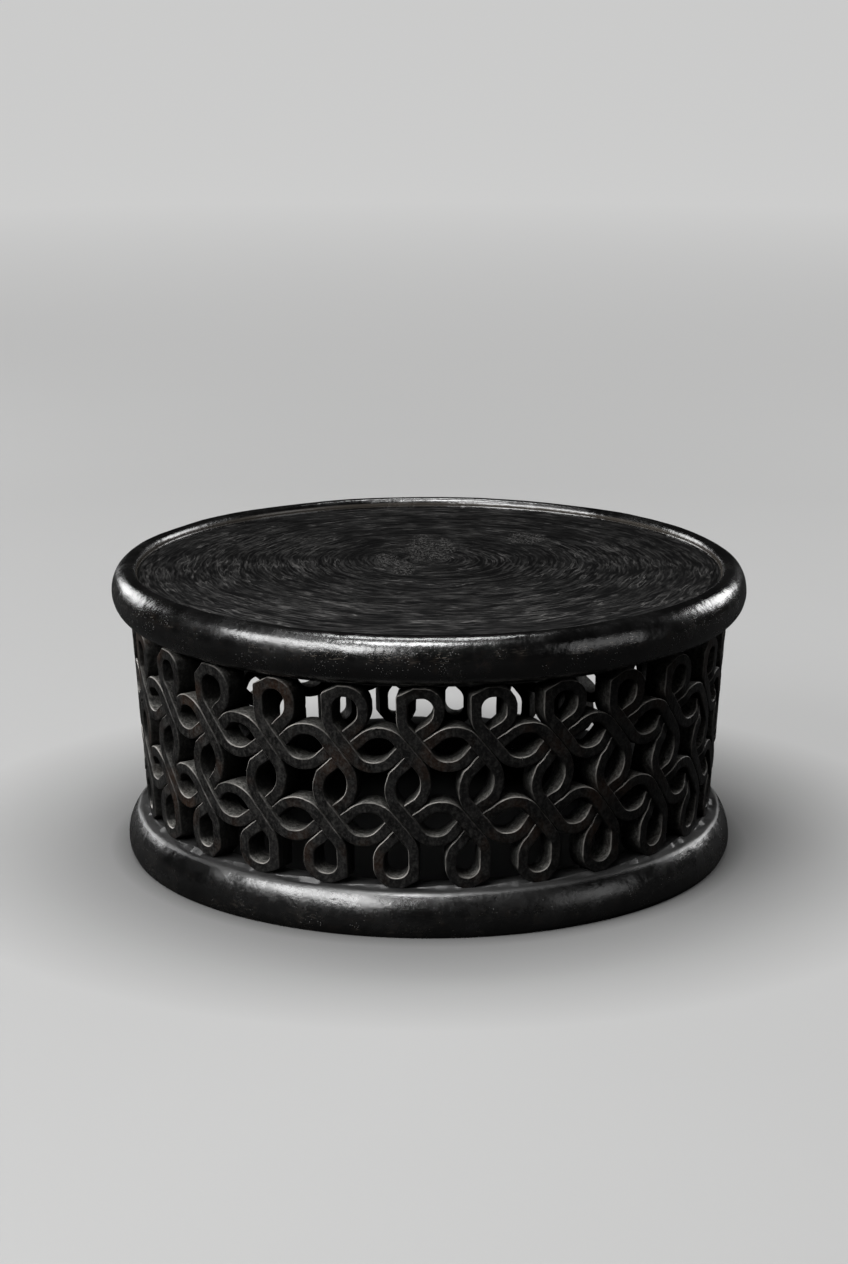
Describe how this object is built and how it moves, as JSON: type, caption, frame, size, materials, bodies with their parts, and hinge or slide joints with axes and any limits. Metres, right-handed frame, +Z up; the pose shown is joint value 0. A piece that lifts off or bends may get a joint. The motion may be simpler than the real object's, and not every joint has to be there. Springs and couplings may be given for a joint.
{
  "type": "carved drum table",
  "caption": "Low round table carved like a drum: rimmed top, openwork wall of interlaced bands and linked rings, rounded base ring.",
  "frame": {"origin": "centre of the foot, on the floor", "axes": "+Z up through the middle of the top; -Y is the front, as in the picture; +X to the right seen from the front"},
  "size_m": [0.9, 0.9, 0.413],
  "materials": {
    "polished_rim": "black-stained hardwood, waxed and rubbed to a satin shine, with fine pits",
    "gouged_top": "black-stained hardwood with short gouge strokes laid in rings, lightly waxed",
    "carved_wall": "black-brown stained hardwood, knife-cut and matt, with rubbed edges"
  },
  "bodies": {
    "root": {"base_ring": "polished_rim", "linked_ring_01": "carved_wall", "linked_ring_02": "carved_wall", "linked_ring_03": "carved_wall", "linked_ring_04": "carved_wall", "linked_ring_05": "carved_wall", "linked_ring_06": "carved_wall", "linked_ring_07": "carved_wall", "linked_ring_08": "carved_wall", "linked_ring_09": "carved_wall", "linked_ring_10": "carved_wall", "linked_ring_11": "carved_wall", "linked_ring_12": "carved_wall", "linked_ring_13": "carved_wall", "linked_ring_14": "carved_wall", "linked_ring_15": "carved_wall", "linked_ring_16": "carved_wall", "linked_ring_17": "carved_wall", "linked_ring_18": "carved_wall", "linked_ring_19": "carved_wall", "linked_ring_20": "carved_wall", "linked_ring_21": "carved_wall", "linked_ring_22": "carved_wall", "linked_ring_23": "carved_wall", "linked_ring_24": "carved_wall", "linked_ring_25": "carved_wall", "linked_ring_26": "carved_wall", "lower_looped_band": "carved_wall", "table_top": "gouged_top", "top_rim": "polished_rim", "upper_looped_band": "carved_wall"}
  },
  "joints": []
}
